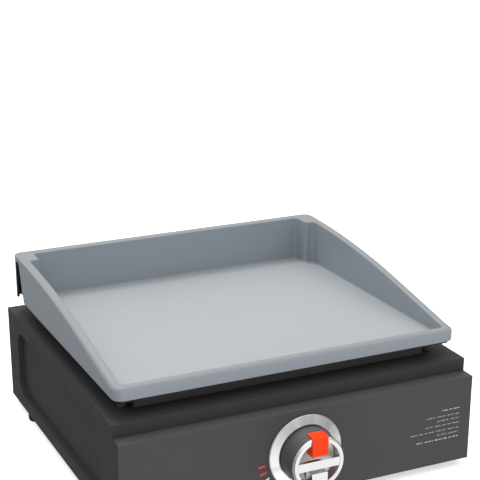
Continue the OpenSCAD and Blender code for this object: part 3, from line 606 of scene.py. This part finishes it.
def slot_cutter(side):
    """Prism that cuts the slot through the skirt on one side."""
    near, far = HALF_W - SKIN - CUT_BEHIND_SKIN, HALF_W + CUT_OUTSIDE
    outline = slot_outline()
    rings = [
        [Vector((side * x, p.x + COVER_MID_Y, SKIRT_Z + p.y)) for p in outline]
        for x in (near, far)
    ]
    mesh = loft("slot_cutter", rings)
    face_outwards(mesh)
    cutter = new_object("slot_cutter", mesh, finish["silicone"])
    for material in (silicone_lit_floor, silicone_hollow_shade):
        mesh.materials.append(material)
    # The slot's cut faces take the near-black silicone: painted shade.
    for polygon in mesh.polygons:
        polygon.material_index = HOLLOW_SHADE_INDEX
    return cutter


# Places of the cover's second and third materials, and the number of steps between its first rings,
# which bound the hollow between the well and the skirt
# The second material paints light on the floor; the third paints shade in the hollow and the slot.
LIT_FLOOR_INDEX, HOLLOW_SHADE_INDEX = 1, 2
HOLLOW_STEPS = 3
COVER_CREASE = math.radians(50)


def make_cover():
    rings = cover_rings()
    cover = new_object("silicone_cover", loft("silicone_cover", rings), finish["silicone"])
    for material in (silicone_lit_floor, silicone_hollow_shade):
        cover.data.materials.append(material)
    # The floor cap takes the paler copy of the silicone: painted light.
    cover.data.polygons[-1].material_index = LIT_FLOOR_INDEX
    # The faces round the hollow between well and skirt take the near-black silicone: painted shade.
    for polygon in cover.data.polygons[1:1 + HOLLOW_STEPS * len(rings[0])]:
        polygon.material_index = HOLLOW_SHADE_INDEX
    face_outwards(cover.data)
    cutters = [slot_cutter(side) for side in (-1, 1)]
    for cutter in cutters:
        cut = cover.modifiers.new("slot", "BOOLEAN")
        cut.object = cutter
        cut.solver = "EXACT"
    frozen(cover)
    for cutter in cutters:
        bpy.data.objects.remove(cutter)
    smooth(cover)
    cover.data.set_sharp_from_angle(angle=COVER_CREASE)
    weigh = cover.modifiers.new("flat_faces", "WEIGHTED_NORMAL")
    weigh.keep_sharp = True
    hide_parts("cover_mat")
    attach(cover, "cover")


make_cover()


# ---------------------------------------------------------------- CAD nodes

TURNED = ("knob_dish", "knob_ring", "knob_body", "knob_bezel", "heating_element", "capillary_tube")
TURNED_CREASE = math.radians(30)


def dress_nodes():
    """Gives every CAD node its finish; the turned pieces keep creases only at their sharp edges."""
    for name, obj in NODES.items():
        obj.data.materials.clear()
        obj.data.materials.append(finish[SLOT_OF_NODE[name]])
        if name in TURNED:
            smooth(obj)
            obj.data.set_sharp_from_angle(angle=TURNED_CREASE)
        else:
            merge_flats(obj)


CUP_MARGIN = mm(1)


def line_knob_cup():
    """Brushed steel on the dish and on the wall of the knob's hollow round it."""
    dish_low, dish_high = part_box("knob_dish")
    hollow_r = (dish_high.x - dish_low.x) / 2 + CUP_MARGIN
    NODES["knob_dish"].data.materials[0] = cup_steel
    body = NODES["knob_body"]
    body.data.materials.append(cup_steel)
    for polygon in body.data.polygons:
        place = body.matrix_world @ polygon.center
        if math.hypot(place.x - KNOB_X, place.z - KNOB_Z) < hollow_r and place.y < dish_high.y:
            polygon.material_index = 1


dress_nodes()
line_knob_cup()


# ---------------------------------------------------------------- printed marks

PRINT_T = mm(0.12)
BAR_ROUNDING = 0.25


def printed_bar(name, center, length, height, angle, material):
    """Thin rounded bar printed on the control panel; angle in degrees from +X."""
    bm = bmesh.new()
    bmesh.ops.create_grid(bm, x_segments=1, y_segments=1, size=0.5)
    bmesh.ops.scale(bm, vec=(length, height, 1), verts=bm.verts)
    bmesh.ops.bevel(bm, geom=list(bm.verts), offset=height * BAR_ROUNDING, segments=3, affect="VERTICES")
    sheet = bmesh.ops.extrude_face_region(bm, geom=list(bm.faces))
    raised = [g for g in sheet["geom"] if isinstance(g, bmesh.types.BMVert)]
    bmesh.ops.translate(bm, vec=(0, 0, PRINT_T), verts=raised)
    turn = Matrix.Rotation(math.radians(90), 4, "X") @ Matrix.Rotation(math.radians(angle), 4, "Z")
    bm.transform(Matrix.Translation(center) @ turn)
    bmesh.ops.recalc_face_normals(bm, faces=bm.faces)
    mesh = bpy.data.meshes.new(name)
    bm.to_mesh(mesh)
    bm.free()
    obj = new_object(name, mesh, material)
    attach(obj, "housing")
    return obj


# Heat marks in a fan round the knob; angles are degrees clockwise from the top
DIAL_R = mm(55.8)
DIAL_HOTTEST = 261
DIAL_PITCH = 9.8
DIAL_COUNT = 12
DIAL_RED = 2
DIAL_MARK_LEN = mm(8.8)
DIAL_MARK_W = mm(2.5)


def dial_marks():
    for i in range(DIAL_COUNT):
        clockwise = DIAL_HOTTEST - DIAL_PITCH * i
        a = math.radians(90 - clockwise)
        center = Vector((KNOB_X + DIAL_R * math.cos(a), PANEL_Y, KNOB_Z + DIAL_R * math.sin(a)))
        ink = mark_red if i < DIAL_RED else mark_white
        printed_bar(f"dial_mark_{i + 1}", center, DIAL_MARK_LEN, DIAL_MARK_W, 90 - clockwise, ink)


# Block of plain dashes where the panel carries small print. Rows are (height from the skirt's lower edge,
# left end), and the dashes take their lengths and gaps in turn, all in millimetres.
PRINT_RIGHT = mm(211)
PRINT_ROWS = (
    (-75.4, 185), (-82.7, 163), (-88.5, 178), (-94.6, 164), (-101.4, 140), (-107.1, 177), (-113, 152),
)
PRINT_H = mm(1.3)
DASH_LENGTHS = (2.2, 4.4, 1.3, 3.1, 5.0, 1.8, 2.7, 3.6, 1.5)
DASH_GAPS = (1.1, 1.5, 0.9, 2.4)
SHORTEST_DASH = mm(min(DASH_LENGTHS))
ROW_SHIFT = 4


def small_print():
    for row, (z, left) in enumerate(PRINT_ROWS):
        ink = print_ink if row in (0, len(PRINT_ROWS) - 1) else faint_ink
        right = PRINT_RIGHT
        part = 0
        while right - mm(left) > SHORTEST_DASH:
            step = part + ROW_SHIFT * row
            length = min(mm(DASH_LENGTHS[step % len(DASH_LENGTHS)]), right - mm(left))
            center = Vector((right - length / 2, PANEL_Y, SKIRT_Z + mm(z)))
            printed_bar(f"print_{row + 1}_{part + 1}", center, length, PRINT_H, 0, ink)
            right -= length + mm(DASH_GAPS[step % len(DASH_GAPS)])
            part += 1


dial_marks()
small_print()


# ---------------------------------------------------------------- stage, lights and camera


FLOOR_GLOW = 0.55
FLOOR_REACH = 40


def make_stage():
    """White floor that shows to the camera and takes shadows, but doesn't light the object from below."""
    reach = FLOOR_REACH
    corners = [(-reach, -reach, 0), (reach, -reach, 0), (reach, reach, 0), (-reach, reach, 0)]
    s = Shader("floor_white", (0.8, 0.8, 0.8), 0.9, Specular_IOR_Level=0.1)
    s.color(s.mix(s.noise(3, 3), (0.79, 0.79, 0.79), (0.81, 0.81, 0.81)))
    s.bsdf.inputs["Emission Color"].default_value = (1, 1, 1, 1)
    s.bsdf.inputs["Emission Strength"].default_value = FLOOR_GLOW
    floor = new_object("floor", mesh_from("floor", corners, [[0, 1, 2, 3]]), s.material)
    floor.visible_diffuse = False
    floor.visible_glossy = False


# Brightness of the tent by height: place 0.5 is the horizon and 1 is straight up. The card fades in between
# two cosines of the angle from its middle.
TENT_LEVELS = ((0.46, 0.38), (0.54, 0.45), (0.68, 0.6), (0.85, 1.35), (1.0, 1.6))
CARD_TOWARDS = Vector((0.25, -0.8, -0.55)).normalized()
CARD_LEVEL = 0.85
CARD_FADE = (0.45, 0.8)


def make_tent():
    """Light tent, brightest overhead, with a card low in front; the camera sees plain white."""
    world = bpy.data.worlds.new("light_tent")
    world.use_nodes = True
    tree = world.node_tree
    direction = tree.nodes.new("ShaderNodeTexCoord").outputs["Generated"]
    height = tree.nodes.new("ShaderNodeSeparateXYZ")
    tree.links.new(direction, height.inputs["Vector"])
    place = tree.nodes.new("ShaderNodeMapRange")
    place.inputs["From Min"].default_value = -1
    tree.links.new(height.outputs["Z"], place.inputs["Value"])
    ramp = tree.nodes.new("ShaderNodeValToRGB")
    ramp.color_ramp.elements.remove(ramp.color_ramp.elements[1])
    for i, (position, level) in enumerate(TENT_LEVELS):
        stop = ramp.color_ramp.elements[0] if i == 0 else ramp.color_ramp.elements.new(position)
        stop.position = position
        stop.color = (level, level, level, 1)
    tree.links.new(place.outputs["Result"], ramp.inputs["Fac"])
    facing = tree.nodes.new("ShaderNodeVectorMath")
    facing.operation = "DOT_PRODUCT"
    facing.inputs[1].default_value = CARD_TOWARDS
    tree.links.new(direction, facing.inputs[0])
    card = tree.nodes.new("ShaderNodeMapRange")
    card.interpolation_type = "SMOOTHSTEP"
    card.inputs["From Min"].default_value, card.inputs["From Max"].default_value = CARD_FADE
    card.inputs["To Max"].default_value = CARD_LEVEL
    tree.links.new(facing.outputs["Value"], card.inputs["Value"])
    total = tree.nodes.new("ShaderNodeVectorMath")
    tree.links.new(ramp.outputs["Color"], total.inputs[0])
    tree.links.new(card.outputs["Result"], total.inputs[1])
    seen = tree.nodes.new("ShaderNodeMix")
    seen.data_type = "RGBA"
    tree.links.new(tree.nodes.new("ShaderNodeLightPath").outputs["Is Camera Ray"], seen.inputs["Factor"])
    tree.links.new(total.outputs["Vector"], seen.inputs[MIX_FIRST])
    seen.inputs[MIX_SECOND].default_value = (1, 1, 1, 1)
    tree.links.new(seen.outputs[MIX_RESULT], tree.nodes["Background"].inputs["Color"])
    bpy.context.scene.world = world


SOFTBOX_SIZE = 0.6
SOFTBOX_POWER = 14
SOFTBOX_PLACE = (-0.1, 0.75, 2.0)


def make_overhead_light():
    light = bpy.data.lights.new("overhead_softbox", "AREA")
    light.size = SOFTBOX_SIZE
    light.energy = SOFTBOX_POWER
    obj = bpy.data.objects.new("overhead_softbox", light)
    obj.location = SOFTBOX_PLACE
    aim = Vector((0, 0, SKIRT_Z)) - obj.location
    obj.rotation_euler = aim.to_track_quat("-Z", "Y").to_euler()
    bpy.context.scene.collection.objects.link(obj)


# The camera stands in front of the left front corner and looks down on the cover
CAMERA_YAW = 24.826
CAMERA_PITCH = 20.475
CAMERA_DISTANCE = 1.72998
CAMERA_TARGET = Vector((mm(22.48), COVER_MID_Y + mm(24.82), SKIRT_Z))
CAMERA_LENS = 100.4
CAMERA_SHIFT = (0.0149, 0.14)
CAMERA_SENSOR = 36
CAMERA_FAR = 100


def make_camera():
    camera = bpy.data.cameras.new("camera")
    camera.lens = CAMERA_LENS
    camera.sensor_width = CAMERA_SENSOR
    camera.shift_x, camera.shift_y = CAMERA_SHIFT
    camera.clip_end = CAMERA_FAR
    obj = bpy.data.objects.new("camera", camera)
    yaw, pitch = math.radians(CAMERA_YAW), math.radians(CAMERA_PITCH)
    look = Vector((math.sin(yaw) * math.cos(pitch), math.cos(yaw) * math.cos(pitch), -math.sin(pitch)))
    obj.location = CAMERA_TARGET - look * CAMERA_DISTANCE
    obj.rotation_euler = look.to_track_quat("-Z", "Y").to_euler()
    bpy.context.scene.collection.objects.link(obj)
    bpy.context.scene.camera = obj


make_stage()
make_tent()
make_overhead_light()
make_camera()
bpy.context.scene.view_settings.view_transform = "Standard"
bpy.context.scene.view_settings.look = "None"
